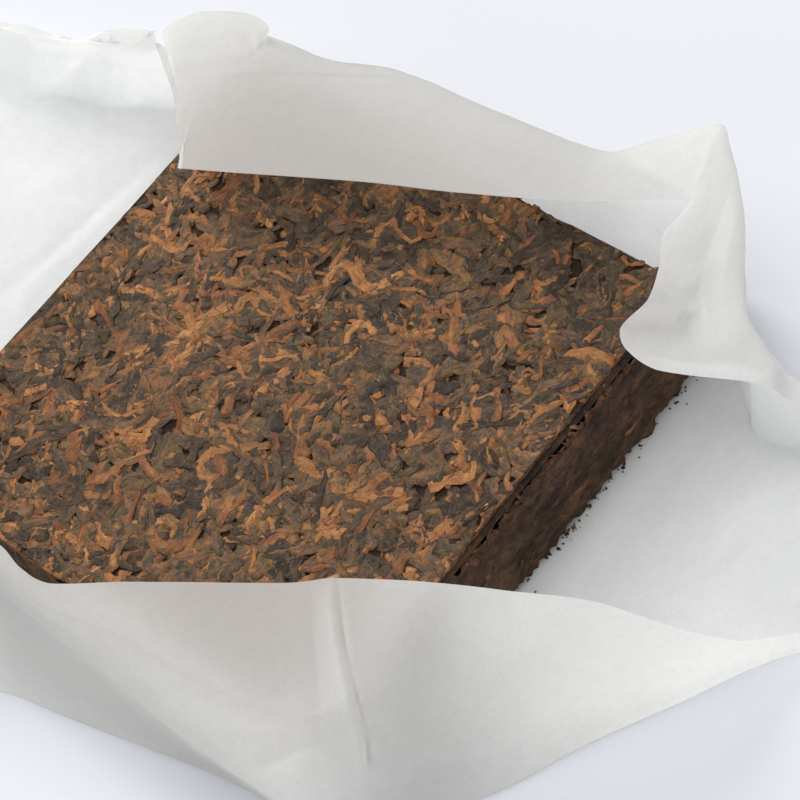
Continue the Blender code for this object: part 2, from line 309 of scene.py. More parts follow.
def make_core():
    """Smaller slab under the leaves: relief finer than rice on top and sides."""
    half = HALF - 0.45
    # bed of the top leaves
    n = 120
    g = np.linspace(-half + 0.2, half - 0.2, n + 1)
    X, Y = np.meshgrid(g, g, indexing='ij')
    Z = TOP - 0.50 + 0.12 * fbm(X, Y, 0, 2.0, 2, 2.0) + 0.08 * vnoise(X, Y, 0, 3.4, 6.0) + swell(X, Y) - 0.6 * edge_drop(X, Y)
    verts = [np.stack([X, Y, Z], -1).reshape(-1, 3)]
    idx = np.arange((n + 1) ** 2).reshape(n + 1, n + 1)
    faces = [np.stack([idx[:-1, :-1], idx[1:, :-1], idx[1:, 1:], idx[:-1, 1:]], -1).reshape(-1, 4)]
    base = (n + 1) ** 2
    # walls all round: lip of the top layer, open split, rim, then the side itself
    n = 280
    e = np.linspace(-HALF, HALF, n + 1)[:-1]
    one = np.full(n, HALF)
    bx = np.concatenate([e, one, -e, -one]); by = np.concatenate([-one, e, one, -e])
    m = 4 * n
    side_n = np.zeros((m, 2))
    side_n[:n] = (0, -1); side_n[n:2*n] = (1, 0); side_n[2*n:3*n] = (0, 1); side_n[3*n:] = (-1, 0)
    face = np.repeat([0, 1, 2, 3], n)
    along = np.concatenate([e, e, -e, -e])
    lip = np.zeros(m); rim = np.zeros(m); dep = np.zeros(m)
    for f in range(4):
        k = face == f
        lip[k], rim[k], dep[k] = edge_shape(along[k], f)
    for c in (0, n, 2*n, 3*n):
        k = side_n[c] + side_n[c - 1]
        side_n[c] = k / np.linalg.norm(k)
    o = np.ones(m)
    jag = 0.10 * vnoise(bx, by, 0, 0.55, 64.0)
    under = 0.20 + 0.15 * vnoise(bx, by, 0, 1.6, 65.0)
    rows = [  # inset, depth, how lit (painted shade), how much paler (torn rim, also painted highlight on the edge)
        (3.6 * o, 0.62 * o, 1.0, 0.0), (lip + 0.30, 0.56 * o, 1.0, 0.3), (lip - 0.02, 0.20 * o, 1.0, 1.0), (lip - 0.13, 0.16 * o, 1.0, 1.0), (lip - 0.12, 0.42 * o, 0.8, 0.8),
        (lip + under, 1.05 * o, 0.10, 0.0), (lip + under, 2.6 * o, 0.02, 0.0), (rim + 0.10, 3.6 * o, 0.02, 0.0),
        (rim + 0.16, dep + 1.2, 0.03, 0.0), (rim + 0.10, dep + 0.45, 0.12, 0.2), (rim + 0.02 + jag, dep + 0.02, 0.9, 0.9),
        (np.maximum(rim - 0.22, 0.10), dep - 0.02 + 0.5 * jag, 1.0, 0.6), (0.42 * np.minimum(rim, 0.5), dep + 0.22, 1.0, 0.2)]
    span = TOP - BOT - 0.05
    for t in np.linspace(0, 1, 34) ** 1.25:
        start = dep + 0.5
        rows.append((0 * o, start + (span - start) * t, 1.0, 0.0))
    lit = [np.full((120 + 1) ** 2, 1.0)]; rim_pale_and_highlight = [np.zeros((120 + 1) ** 2)]
    prev = None
    for i, (ins, dp, li, pa) in enumerate(rows):
        x0 = np.clip(bx, -HALF + ins, HALF - ins); y0 = np.clip(by, -HALF + ins, HALF - ins)
        zz = TOP - dp
        below = dp - dep
        out = side_out(bx, by, zz, below) * (1.0 if i > 12 else 0.0)
        out = out + (0.0 if i < 10 else 0.16 * vnoise(bx, by, 0, 1.1, 62.0) * sstep(3.0, 0.4, below))
        sag = swell(bx, by) * sstep(3.0, 0.5, dp)
        verts.append(np.stack([x0 + side_n[:, 0] * out, y0 + side_n[:, 1] * out, zz + sag], -1))
        lit.append(np.full(m, li)); rim_pale_and_highlight.append(np.full(m, pa))
        cur = base + np.arange(m)
        base += m
        if prev is not None:
            faces.append(np.stack([prev, cur, np.roll(cur, -1), np.roll(prev, -1)], -1))
        prev = cur
    verts.append(np.array([[0, 0, BOT + 0.05]]))
    lit.append(np.ones(1)); rim_pale_and_highlight.append(np.zeros(1))
    tri = np.stack([prev, np.full(m, base), np.roll(prev, -1)], -1)
    v = np.concatenate(verts)
    ob = mesh_object("slab_core", v, [np.concatenate(faces), tri], {"lit": np.concatenate(lit), "rim_pale_and_highlight": np.concatenate(rim_pale_and_highlight)})
    return ob


def core_material():
    N = Nodes("pressed_dust")
    geo = N.n("NewGeometry")
    pos = geo.outputs["Position"]
    st = N.n("Mapping", i_Vector=pos, i_Scale=(1.0, 1.0, 1.9)).outputs[0]
    big = N.n("TexNoise", i_Vector=st, i_Scale=170.0, i_Detail=2.0, i_Roughness=0.5).outputs["Fac"]
    a = N.n("TexNoise", i_Vector=st, i_Scale=520.0, i_Detail=4.0, i_Roughness=0.65).outputs["Fac"]
    bnd = N.n("TexNoise", i_Vector=st, i_Scale=1700.0, i_Detail=3.0, i_Roughness=0.7).outputs["Fac"]
    fleck = N.n("TexVoronoi", i_Vector=st, i_Scale=520.0).outputs["Color"]
    fl = N.n("SeparateColor", i_Color=fleck)
    mixv = N.math('ADD', N.math('MULTIPLY', a, 0.42), N.math('ADD', N.math('MULTIPLY', bnd, 0.24), N.math('MULTIPLY', big, 0.34)))
    col = N.ramp(mixv, [(0.34, srgb(34, 26, 21)), (0.45, srgb(60, 46, 37)), (0.54, srgb(86, 65, 50)), (0.64, srgb(112, 82, 59)), (0.78, srgb(138, 98, 66))])
    hot = N.remap(fl.outputs[0], 0.90, 0.97, 0.0, 0.5)
    col = N.mix(hot, col, srgb(136, 80, 48))
    # painted shade: where the core shows between the leaves on top it is darkened nearly to black
    z = N.n("SeparateXYZ", i_Vector=geo.outputs["Normal"]).outputs[2]
    h0 = N.n("SeparateXYZ", i_Vector=pos).outputs[2]
    up = N.math('MULTIPLY', N.remap(z, 0.55, 0.9, 0.0, 1.0), N.remap(h0, (TOP - 3.0) * MM, (TOP - 2.0) * MM, 0.0, 1.0))
    core_painted_shade = N.remap(up, 0.0, 1.0, 1.0, 0.42)
    # torn rims are paler and their edges carry a painted highlight; the split is painted dark as shade (unlit)
    rim_pale_and_highlight = N.n("Attribute", attribute_name="rim_pale_and_highlight").outputs["Fac"]
    lit = N.n("Attribute", attribute_name="lit").outputs["Fac"]
    pk = N.math('MULTIPLY', rim_pale_and_highlight, N.remap(bnd, 0.40, 0.62, 0.15, 0.95))
    col = N.mix(pk, col, srgb(158, 112, 78))
    core_painted_shade = N.math('MULTIPLY', N.math('MAXIMUM', core_painted_shade, rim_pale_and_highlight), lit)
    col = N.mix(1.0, col, N.n("CombineColor", i_Red=core_painted_shade, i_Green=core_painted_shade, i_Blue=core_painted_shade).outputs[0], 'MULTIPLY')
    h = N.math('ADD', a, N.math('MULTIPLY', bnd, 0.8))
    bp = N.n("Bump", i_Height=h, i_Strength=0.9, i_Distance=0.0006).outputs[0]
    b = N.n("BsdfPrincipled", i_Roughness=0.85, i_Normal=bp)
    N.link(col, b.inputs["Base Color"])
    b.inputs["Specular IOR Level"].default_value = 0.2
    N.link(b.outputs[0], N.out.inputs[0])
    return N.m


# ------------------------------------------------------------------ leaves
SEC_TOP, SEC_BOT = 5, 1           # points over and under the leaf
SEC = SEC_TOP + SEC_BOT

# kind: length shape, scale; width shape, scale; lowest, highest place; hooked share
KINDS = {
    'plate': (12, 0.62, 13, 0.28, -0.28, -0.05, 0.00),
    'dark':  (8, 0.90, 12, 0.178, -0.26, 0.02, 0.10),
    'brown': (7, 0.94, 12, 0.166, -0.24, 0.04, 0.16),
    'gold':  (8, 0.84, 12, 0.142, -0.20, 0.07, 0.24),
    'chip':  (6, 0.38, 8, 0.140, -0.20, 0.06, 0.05),
    'flake': (6, 0.50, 8, 0.150, -0.35, 0.02, 0.05),
}


def leaf_batch(count, kind, seed, along=9):
    """Flattened torn strips lying in the pressed face.
    Returns verts (mm), quads, end caps, tone, luv."""
    r = np.random.default_rng(seed)
    la, lb, wa, wb, z0, z1, hooked = KINDS[kind]
    cx, cy = r.uniform(-HALF, HALF, (2, count))
    th = r.uniform(0, 2 * np.pi, count)
    L = r.gamma(la, lb, count).clip(1.2, 14)
    W = r.gamma(wa, wb, count).clip(0.45, 5.0)
    W = np.minimum(W, L * 0.6)
    typ = r.random(count)
    u = np.linspace(0, 1, along)
    k0 = r.normal(0, 0.05, count)
    sg = r.choice([-1, 1], count)
    hook = np.where(typ < hooked, sg * r.uniform(0.3, 0.75, count), 0)
    hook_at = r.uniform(0.5, 0.8, count)
    ess = np.where((typ > 0.35) & (typ < 0.55), r.normal(0, 0.22, count), 0)
    arc = np.where(typ > 0.70, r.normal(0, 0.16, count), 0)
    soft = np.clip(2.0 / W, 0.25, 1.3)[:, None]
    kap = (k0 + arc)[:, None] + hook[:, None] * sstep(0, 0.15, u[None] - hook_at[:, None]) + ess[:, None] * np.sin(2 * np.pi * u)[None]
    kap = (kap + r.normal(0, 0.07, (count, along))) * soft
    ds = (L / (along - 1))[:, None]
    ang = th[:, None] + np.cumsum(kap * ds, 1) + r.normal(0, 0.06, (count, along)) * soft
    px = np.cumsum(np.cos(ang) * ds, 1); py = np.cumsum(np.sin(ang) * ds, 1)
    px += (cx - px.mean(1))[:, None]; py += (cy - py.mean(1))[:, None]
    dx = np.gradient(px, axis=1); dy = np.gradient(py, axis=1)
    q = np.hypot(dx, dy) + 1e-9
    nx, ny = -dy / q, dx / q
    # torn, blunt ends; one end often narrower
    blunt = r.uniform(5, 16, count)[:, None]
    prof = np.clip(1.02 - np.abs(2 * u[None] - 1) ** blunt, 0.0, 1) ** 0.5
    prof[:, 0] = r.uniform(0.3, 0.95, count); prof[:, -1] = r.uniform(0.1, 0.85, count)
    taper = r.uniform(0.5, 1.0, count)[:, None]
    waist = 1 + 0.15 * np.sin(u[None] * r.uniform(3, 9, count)[:, None] + r.uniform(0, 6, count)[:, None])
    wid = W[:, None] * prof * (1 - (1 - taper) * u[None] ** 1.3) * waist
    wid = np.maximum(wid, 0.08)
    v = np.array([-1, -0.84, 0.0, 0.84, 1.0])
    # flat back with softly rounded rims
    crown = (0.020 + 0.025 * r.random(count))[:, None, None] * np.clip(W, 0.7, 2.0)[:, None, None]
    lump = crown * (1 - np.abs(v)[None, None] ** 2) - 0.11 * (np.abs(v) > 0.9)[None, None]
    # rolled edges with a hollow between, or a rounded back
    fold = (r.normal(0.0, 0.045, count))[:, None, None] * np.array([0, 1, -0.8, 1, 0])[None, None]
    lump = lump + fold + 0.028 * r.normal(0, 1, (count, along, SEC_TOP))
    jag = 1 + 0.20 * r.normal(0, 1, (count, along, 2)).clip(-2, 2)
    side = np.where(v[None, None] < 0, jag[..., :1], jag[..., 1:]) * v[None, None]
    X = px[..., None] + nx[..., None] * side * wid[..., None] * 0.5
    Y = py[..., None] + ny[..., None] * side * wid[..., None] * 0.5
    off = r.uniform(z0, z1, count)
    # darker by the corner under the ear and back flap, as painted shade together with a darker leaf mix there, and in
    # scattered patches: tones are lowered and golden and brown leaves lie lower
    painted_shade_and_dark_mix = np.exp(-((cx - 44) ** 2 + (cy + 36) ** 2) / 24.0 ** 2) + 0.5 * np.clip(vnoise(cx, cy, 0, 13, 95.0), 0, 1)
    if kind in ('gold', 'brown'):
        off = off - 0.16 * painted_shade_and_dark_mix * r.random(count)
    tilt = r.normal(0, 0.085, count)[:, None] * (2 * u[None] - 1)
    roll = r.normal(0, 0.050, count)[:, None, None] * v[None, None] * np.clip(W, 0, 3)[:, None, None]
    wob = 0.035 * np.sin(u[None] * r.uniform(4, 12, count)[:, None] + r.uniform(0, 6, count)[:, None])
    zc = (off[:, None] + tilt + wob)[..., None] + lump + roll
    zc = zc - 0.08 * (np.abs(2 * u - 1) ** 6)[None, :, None]
    # pressed by the mould: nothing stands much above the face
    lim = 0.07
    zc = np.where(zc > 0, lim * np.tanh(zc / lim), zc)
    zc += 0.012 * r.normal(0, 1, zc.shape)
    # cut off straight at the slab's sides
    near = 0.10 * r.random(count)[:, None, None] - 0.04
    X0, Y0 = X.copy(), Y.copy()
    X = np.clip(X0, -HALF + edge_shape(Y0, 3)[0] + near, HALF - edge_shape(Y0, 1)[0] - near)
    Y = np.clip(Y0, -HALF + edge_shape(X0, 0)[0] + near, HALF - edge_shape(X0, 2)[0] - near)
    over = np.hypot(X - X0, Y - Y0)
    zc -= np.clip(over, 0, 1.2) * 0.06
    Z = TOP + zc + swell(X, Y)
    top = np.stack([X, Y, Z], -1)
    mid = 0.5 * (top[:, :, 0] + top[:, :, -1]) - np.array([0, 0, 0.45])
    sec = np.concatenate([top, mid[:, :, None]], 2)        # count, along, SEC, 3
    verts = sec.reshape(-1, 3)
    vid = np.arange(len(verts)).reshape(count, along, SEC)
    nxt = np.roll(vid, -1, 2)
    quads = np.stack([vid[:, :-1], vid[:, 1:], nxt[:, 1:], nxt[:, :-1]], -1).reshape(-1, 4)
    caps = np.concatenate([vid[:, 0], vid[:, -1, ::-1]])
    tone = np.repeat(r.random(count) * (1 - 0.45 * np.clip(painted_shade_and_dark_mix, 0, 1)), along * SEC)
    vv = np.concatenate([v, [0.0]])
    lu = np.broadcast_to((u[None, :, None] * L[:, None, None]), (count, along, SEC))
    lv = np.broadcast_to(vv[None, None] * W[:, None, None] * 0.5, (count, along, SEC))
    sd = np.broadcast_to((r.random(count) * 400)[:, None, None], (count, along, SEC))
    luv = np.stack([lu, lv, sd], -1).reshape(-1, 3)
    return verts, quads, caps, tone, luv


def side_batch(count, seed, face, along=5):
    """Small flakes lying in one upright side: the same strips, turned to face outward."""
    v, q, c, t, l = leaf_batch(count, 'flake', seed, along)
    x, y = v[:, 0].copy(), v[:, 1].copy()
    r = np.random.default_rng(seed + 7)
    # keep height within the slab, squeeze strips toward level
    k = len(v) // count
    if face in (2, 3):
        x = -x            # keeps the faces turned outward
    hx = np.repeat(x.reshape(count, k).mean(1), k); hy = np.repeat(y.reshape(count, k).mean(1), k)
    lvl = np.repeat(r.uniform(BOT + 1.0, TOP - 1.2, count), k)
    dxl, dyl = x - hx, y - hy
    X = np.clip(hx, -HALF + 2, HALF - 2) + dxl
    H = lvl + dyl * 0.55
    out = v[:, 2] - TOP
    lip, rim, dep = edge_shape(X, face)
    H = np.maximum(H, BOT + 0.3 + 0.5 * vnoise(X, H, 0, 1.5, 70.0 + face))
    H = np.minimum(H, TOP - dep - 0.55 + 0.20 * vnoise(X, 0 * X, 0, 0.9, 71.0 + face))
    lim = HALF - 0.3
    X = np.clip(X, -lim, lim)
    bx, by = {0: (X, -HALF), 1: (HALF, X), 2: (X, HALF), 3: (-HALF, X)}[face]
    below = TOP - H - dep
    far = HALF + 0.03 + side_out(bx, by, H, below) + out * 0.8
    P = {0: (X, -far), 1: (far, X), 2: (X, far), 3: (-far, X)}[face]
    return np.stack([P[0], P[1], H], -1), q, c, t, l


def rim_chips(count, kind, seed, face, along=5):
    """Bits of leaf caught in the torn rim of one side."""
    v, q, c, t, l = leaf_batch(count, kind, seed, along)
    r = np.random.default_rng(seed + 9)
    k = len(v) // count
    P = v.reshape(count, k, 3)
    P = P - P.mean(1, keepdims=True)
    P *= r.uniform(0.55, 0.95, (count, 1, 1))
    X = r.uniform(-HALF + 1.5, HALF - 1.5, count)
    X = X + 2.0 * vnoise(X, 0, 0, 6.0, 80.0 + face)
    lip, rim, dep = edge_shape(X, face)
    a = r.normal(0.45, 0.35, count)[:, None]                   # leans outward
    y = P[..., 1] * np.cos(a) + P[..., 2] * np.sin(a)
    z = -P[..., 1] * np.sin(a) * 0.8 + P[..., 2] * np.cos(a)
    off = rim * r.uniform(0.1, 0.9, count)
    H = TOP - dep + 0.02 + r.uniform(-0.25, 0.10, count) + swell(X, -HALF + 0 * X)
    out = HALF - off[:, None] + y
    W = X[:, None] + P[..., 0]
    out = np.clip(out, None, HALF + 0.25)
    Z = H[:, None] + z
    XY = {0: (W, -out), 1: (out, W), 2: (-W, out), 3: (-out, -W)}[face]
    return np.stack([XY[0], XY[1], Z], -1).reshape(-1, 3), q, c, t, l


def leaf_piece(name, parts, mat):
    V, Q, C, T, U = [], [], [], [], []
    o = 0
    for v, q, c, t, l in parts:
        V.append(v); Q.append(q + o); C.append(c + o); T.append(t); U.append(l)
        o += len(v)
    ob = mesh_object(name, np.concatenate(V), [np.concatenate(Q), np.concatenate(C)],
                     {"tone": np.concatenate(T), "luv": np.concatenate(U)})
    ob.data.materials.append(mat)
    return ob


core = make_core()
core.data.materials.append(core_material())
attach(core, "root"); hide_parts("tea_brick")

m_dark = leaf_material("leaf_dark", DARK)
m_brown = leaf_material("leaf_brown", BROWN)
m_gold = leaf_material("leaf_gold", GOLD, spread=0.8)
SIDE = [(0.0, srgb(40, 31, 25)), (0.30, srgb(64, 49, 39)), (0.55, srgb(88, 65, 50)), (0.78, srgb(112, 80, 57)), (1.0, srgb(150, 92, 55))]
m_side = leaf_material("leaf_side", SIDE, rough=(0.6, 0.8), side=True)
leaves = [
    leaf_piece("leaves_dark", [leaf_batch(380, 'plate', 10), leaf_batch(1180, 'dark', 11)], m_dark),
    leaf_piece("leaves_brown", [leaf_batch(170, 'plate', 20), leaf_batch(760, 'brown', 12), leaf_batch(420, 'chip', 14, 6), rim_chips(90, 'chip', 41, 0), rim_chips(30, 'chip', 42, 3)], m_brown),
    leaf_piece("leaves_golden", [leaf_batch(720, 'gold', 13), leaf_batch(420, 'chip', 15, 6), rim_chips(55, 'chip', 43, 0), rim_chips(20, 'chip', 44, 1)], m_gold),
    leaf_piece("side_flakes", [side_batch(420, 300 + f, f) for f in range(4)], m_side),
]
for o in leaves:
    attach(o, "root"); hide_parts("tea_brick")


def make_crumbs():
    """Loose crumbs lying on the paper along the slab's foot."""
    r = np.random.default_rng(91)
    bm = bmesh.new()
    bmesh.ops.create_icosphere(bm, subdivisions=1, radius=1.0)
    unit = np.array([v.co[:] for v in bm.verts]); tri = np.array([[v.index for v in f.verts] for f in bm.faces])
    bm.free()
    spots = []
    for face, cnt in ((0, 110), (1, 30), (2, 24), (3, 26)):
        a = r.uniform(-HALF, HALF, cnt)
        a = a + 2.5 * vnoise(a, 0, 0, 5.0, 90.0 + face)
        d = HALF - 0.2 + r.gamma(1.1, 0.55, cnt)
        for i in range(cnt):
            spots.append({0: (a[i], -d[i]), 1: (d[i], a[i]), 2: (a[i], d[i]), 3: (-d[i], a[i])}[face])
    V, F, T, U = [], [], [], []
    for i, (x, y) in enumerate(spots):
        size = min(0.16 + r.gamma(2.0, 0.055), 0.5)
        q = unit * np.array([1, r.uniform(0.5, 0.9), r.uniform(0.4, 0.7)]) * size
        q = q * (1 + 0.22 * r.normal(0, 1, (len(q), 1)).clip(-1.5, 1.5))
        a = r.uniform(0, 2 * np.pi)
        ca, sa = np.cos(a), np.sin(a)
        q = np.stack([q[:, 0] * ca - q[:, 1] * sa + x, q[:, 0] * sa + q[:, 1] * ca + y, q[:, 2] - q[:, 2].min() + PAPER_TOP], -1)
        F.append(tri + len(unit) * i); V.append(q)
        T.append(np.full(len(q), r.random())); U.append(np.stack([q[:, 0] * 3, q[:, 1] * 3, np.full(len(q), float(i))], -1))
    ob = mesh_object("tea_crumbs", np.concatenate(V), np.concatenate(F), {"tone": np.concatenate(T), "luv": np.concatenate(U)}, smooth=False)
    ob.data.materials.append(m_side)
    return ob


PAPER_TOP = 0.42
crumbs = make_crumbs()
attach(crumbs, "root"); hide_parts("tea_brick")

# ------------------------------------------------------------------- paper
TURN = math.radians(24.87)
S_AXIS = (math.sin(TURN), -math.cos(TURN))
T_AXIS = (math.cos(TURN), math.sin(TURN))
PAPER_Z = 0.2
# rails of the sheet, as in the construction: (section, s, t, z) mm
RIM_F = [(0, -108, -44, 8), (2, -68, -34.5, 14), (3.5, -50, -36.8, 19),
         (4, -39.4, -37.8, 22), (4.5, -33.7, -41.6, 22.1), (5, -27, -44.1, 22.8),
         (5.5, -13.1, -42.4, 23.4), (6, 0.8, -41, 23.8), (6.6, 15.3, -39.6, 24.4),
         (7, 22.6, -38.4, 25.4), (7.5, 33.5, -38.1, 27.1), (8, 43.9, -38.3, 28.6),
         (8.5, 54.3, -38.1, 28.1), (9, 64.7, -36.8, 25.1), (9.5, 71.2, -36.2, 20.7),
         (10, 78, -35.2, 15.2), (11, 84.6, -32.2, 8), (12, 93, -27.5, 4),
         (13, 114, -24.2, 2.5)]
SHOULDER_F = [(0, -108, -50, 7), (2, -68.5, -40.5, 12.5), (3.5, -50, -40.8, 17.8),
              (4, -39.5, -41.4, 20.9), (4.5, -33, -45, 21.1), (5, -26, -48, 21.9),
              (5.5, -12.5, -51.2, 23.1), (6, 1.5, -56.4, 23.7), (6.6, 16.3, -60.5, 24.5),
              (7, 25, -61.5, 25.1), (7.5, 34.5, -56, 24), (8, 45, -47, 20),
              (9, 63.7, -41.6, 17.6), (10, 77.2, -37.2, 10.6), (11, 84.4, -32.7, 5.4),
              (12, 93, -28, 2.8), (13, 114, -24.8, 1.8)]
CREASE_F = [(0, -108, -57, 5), (2, -69, -46.5, 10.5), (3.5, -49.5, -44, 15.8),
            (4, -39.5, -44.2, 18.2), (4.5, -32, -47.9, 18.7), (5, -25, -51.2, 19.3),
            (5.5, -12, -57.6, 20.1), (6, 2, -64.6, 20.7), (6.6, 17, -71.6, 20.6),
            (7, 26, -74, 18.5), (7.5, 36, -66.5, 14), (8, 46, -56.5, 10.5),
            (9, 62.6, -46.4, 9), (10, 76.4, -38.6, 5.3), (11, 84.2, -33.1, 2.9),
            (12, 93, -28.4, 1.5), (13, 114, -25.3, 1.0)]
FOOT_F = [(0, -108, -63), (2, -70, -57), (4, -42.8, -54.7), (5, -27, -58),
          (6, 4, -64.2), (7, 26, -68.5), (8, 46.4, -60.7), (9, 61.8, -48.9),
          (10, 75.6, -39.3), (11, 84, -33), (12, 93, -28.5), (13, 114, -25.5)]
FOOT_B = [(0, -108, 72), (2, -70, 69), (4, -42, 70), (5, -27, 72.5),
          (6, 4, 59), (7, 26, 49), (8, 46, 40), (9, 66, 36),
          (10, 69.8, 25.5), (10.5, 71.6, 20), (11, 74, 14.2), (12, 80, 7.5),
          (13, 114, 6)]
WALL_B = [(0, -108, 80, 3), (2, -70, 74, 8), (3, -52, 72, 9),
          (4, -41, 72.5, 12), (5, -27, 75.5, 14), (6, 4, 62.5, 14),
          (7, 26, 52.5, 14), (8, 47, 44.5, 15), (9, 67.5, 42, 18),
          (10, 73, 28.3, 16), (10.5, 74.5, 21.4, 14.5), (11, 76.4, 15, 14),
          (12, 82, 8.8, 12), (13, 114, 5, 4)]
RIDGE_B = [(0, -106, 88, 4), (1, -90, 80.3, 9), (2, -68.5, 74, 12.5),
           (3, -50.5, 71.6, 15), (3.5, -45.5, 70.8, 16), (3.75, -42, 67.5, 20), (4, -38, 61.5, 25.4),
           (4.1, -39.8, 64.6, 25.5), (4.22, -43, 67.8, 25.2), (4.38, -39.5, 70.4, 25.8),
           (4.5, -36, 72, 26.2), (4.7, -26.5, 71.6, 26.4),
           (4.87, -21.6, 68.8, 26), (5, -21.8, 65.5, 25.8), (6, 7, 60, 26.5), (7, 27, 52, 27), (8, 48.5, 45.5, 26),
           (8.5, 57.3, 45.8, 29.6), (9, 69.3, 46.4, 34.1),
           (9.25, 71.2, 42.7, 33.1), (9.5, 73.2, 38.5, 32.1),
           (10, 75.7, 30.3, 30.1), (10.5, 76.8, 22.5, 28.1),
           (11, 78.1, 15.6, 26.6), (11.5, 80.6, 12.2, 24.7),
           (12, 83.6, 9.5, 22.2), (12.5, 87.8, 7.9, 18.2), (13, 114, 3.6, 7.5)]
MID_B = [(0, -105, 89, 4.5), (1, -90.5, 79.6, 11), (2, -67.6, 72.9, 15),
         (3, -49, 72.4, 18), (3.25, -46.3, 68.6, 19.2), (3.5, -41, 61.5, 21), (4, -31.5, 47.5, 28.5),
         (5, -25.2, 50, 28.5),
         (6, 5, 47, 28.8), (7, 26.5, 42.6, 29), (8, 47.5, 38.5, 28.6),
         (9, 68.3, 40, 33), (9.5, 69, 33, 31.8), (10, 70.2, 26, 30.2),
         (10.5, 70.5, 18.6, 28.3), (11, 69.3, 12.2, 25.8), (11.5, 74, 7.6, 25.4),
         (12, 83.2, 6.6, 22.8), (12.5, 88, 5.9, 18), (13, 114, 2.8, 8)]
RIM_B = [(0, -104, 90, 5), (1, -91, 78.8, 12.6), (1.2, -86.2, 77.4, 13.8),
         (1.6, -78.2, 76.2, 15.6), (1.9, -69.4, 72.2, 16.6), (2.2, -62.9, 70.3, 17.6),
         (2.4, -58.5, 70.8, 18.6), (2.6, -54, 68.4, 18.8), (2.8, -49.6, 69, 19.6),
         (3, -47.8, 72.2, 20.4), (3.25, -43, 63.5, 22.6), (3.5, -36.5, 54, 24), (3.9, -27.4, 37, 29),
         (4, -26.3, 34.2, 29.8), (4.1, -26.1, 34.2, 29.9), (5, -25, 34.1, 30),
         (6, 5, 33.7, 30), (7, 26.5, 32.6, 30), (8, 47, 32, 30.3),
         (9, 66, 33.2, 30.5), (9.5, 63.0, 26.5, 30.4), (10, 63.7, 20.5, 30.5),
         (10.5, 63.2, 14.2, 30.4), (11, 59.8, 8.7, 30), (11.3, 61.4, 5.2, 30),
         (11.6, 67.2, 2.0, 29.6), (12, 82.4, 4.0, 24), (12.5, 88.3, 3.9, 18.4),
         (13, 114, 2.0, 8.5)]
FLAT_RAILS = (0.22, 0.5, 0.78)
END_RISE = 0.10


def hermite(knots, x, ease):
    knots = np.asarray(knots, float)
    xs, ys = knots[:, 0], knots[:, 1:]
    step = np.diff(xs)[:, None]
    slope = np.diff(ys, axis=0) / step
    m = np.zeros_like(ys)
    m[0], m[-1] = slope[0], slope[-1]
    m[1:-1] = 0.5 * (slope[1:] + slope[:-1])
    x = np.asarray(x, float)
    i = np.clip(np.searchsorted(xs, x, side='right') - 1, 0, len(xs) - 2)
    h = step[i]
    u = (x - xs[i])[:, None] / h
    a, b = ys[i], ys[i + 1]
    line = a + (b - a) * u
    curve = ((2 * u**3 - 3 * u**2 + 1) * a + (u**3 - 2 * u**2 + u) * h * m[i]
             + (3 * u**2 - 2 * u**3) * b + (u**3 - u**2) * h * m[i + 1])
    return line + (curve - line) * ease


def sheet_points(v, w, ease_v=0.75, ease_w=0.55):
    def flat(rail):
        return np.hstack([np.asarray(rail, float), np.full((len(rail), 1), PAPER_Z)])
    rails = [hermite(r, v, ease_v) for r in (RIM_F, SHOULDER_F, CREASE_F, flat(FOOT_F), flat(FOOT_B), WALL_B, RIDGE_B, MID_B, RIM_B)]
    bottom = []
    for f in FLAT_RAILS:
        p = rails[3] * (1 - f) + rails[4] * f
        y = S_AXIS[1] * p[:, 0] + T_AXIS[1] * p[:, 1]
        p[:, 2] = PAPER_Z + np.minimum(END_RISE * np.maximum(0, np.abs(y) - 72), 3.5) * (1 - abs(2 * f - 1))
        bottom.append(p)
    rails = rails[:4] + bottom + rails[4:]
    net = np.stack(rails, 1)
    number = np.arange(len(rails))[:, None]
    g = np.stack([hermite(np.hstack([number, net[j]]), w, ease_w) for j in range(len(v))])
    g[..., 2] = np.maximum(g[..., 2], PAPER_Z)
    q = g.copy()
    q[..., 0] = S_AXIS[0] * g[..., 0] + T_AXIS[0] * g[..., 1]
    q[..., 1] = S_AXIS[1] * g[..., 0] + T_AXIS[1] * g[..., 1]
    return q


def spread(count, last, crowd):
    x = np.linspace(0, last, 4001)
    d = np.ones_like(x)
    for c, w, g in crowd:
        d += g * np.exp(-((x - c) / w) ** 2)
    run = np.concatenate([[0], np.cumsum(0.5 * (d[1:] + d[:-1]))])
    return np.interp(np.linspace(0, run[-1], count), run, x)


